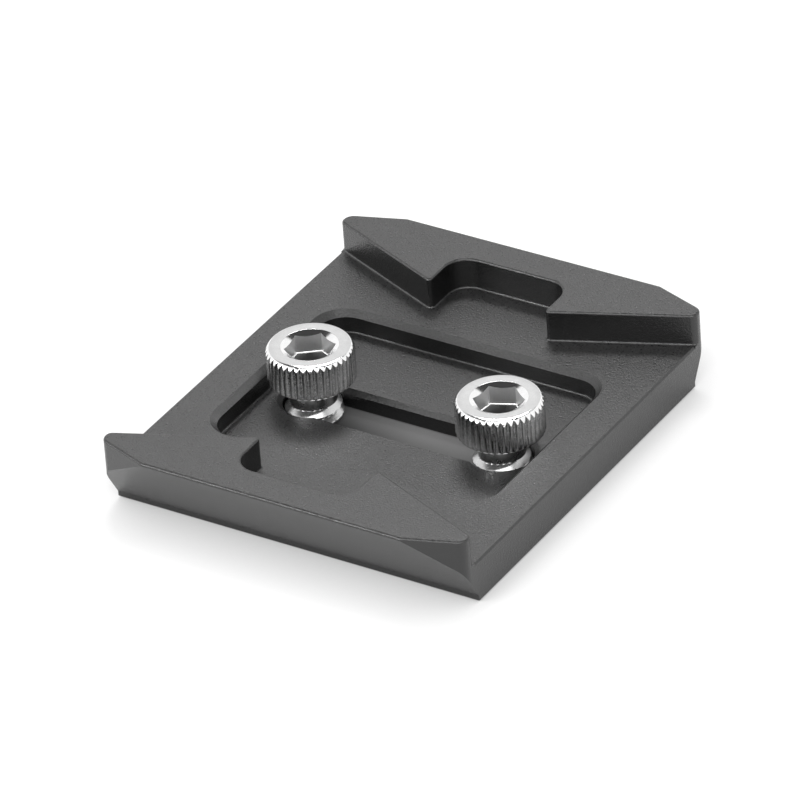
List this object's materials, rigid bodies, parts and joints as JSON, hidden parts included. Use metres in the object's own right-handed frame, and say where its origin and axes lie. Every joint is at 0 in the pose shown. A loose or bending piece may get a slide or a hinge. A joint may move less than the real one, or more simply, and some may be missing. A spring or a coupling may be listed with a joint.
{
  "type": "tripod quick release plate",
  "caption": "Machined dovetail plate with notched locking rails, a pocket and a keyhole slot that holds loose knurled camera screws with hexagon sockets.",
  "frame": {"origin": "centre of the camera face, which lies on the table", "axes": "+X along the dovetail and its rails, +Y across the dovetail, +Z out of the face that the clamp takes"},
  "size_m": [0.044, 0.0532, 0.0089],
  "materials": {
    "plate": "black anodised over a fine bead blast, satin",
    "screws": "bright polished steel"
  },
  "bodies": {
    "plate": {"plate": "plate"},
    "screw_left": {"screw_left": "screws"},
    "screw_right": {"screw_right": "screws"}
  },
  "joints": [
    {"name": "screw_left_lift", "type": "slide", "parent": "plate", "child": "screw_left", "axis": [0, 0, 1], "range_m": [-0.00245, 0.0022]},
    {"name": "screw_right_lift", "type": "slide", "parent": "plate", "child": "screw_right", "axis": [0, 0, 1], "range_m": [-0.00245, 0.0022]}
  ]
}
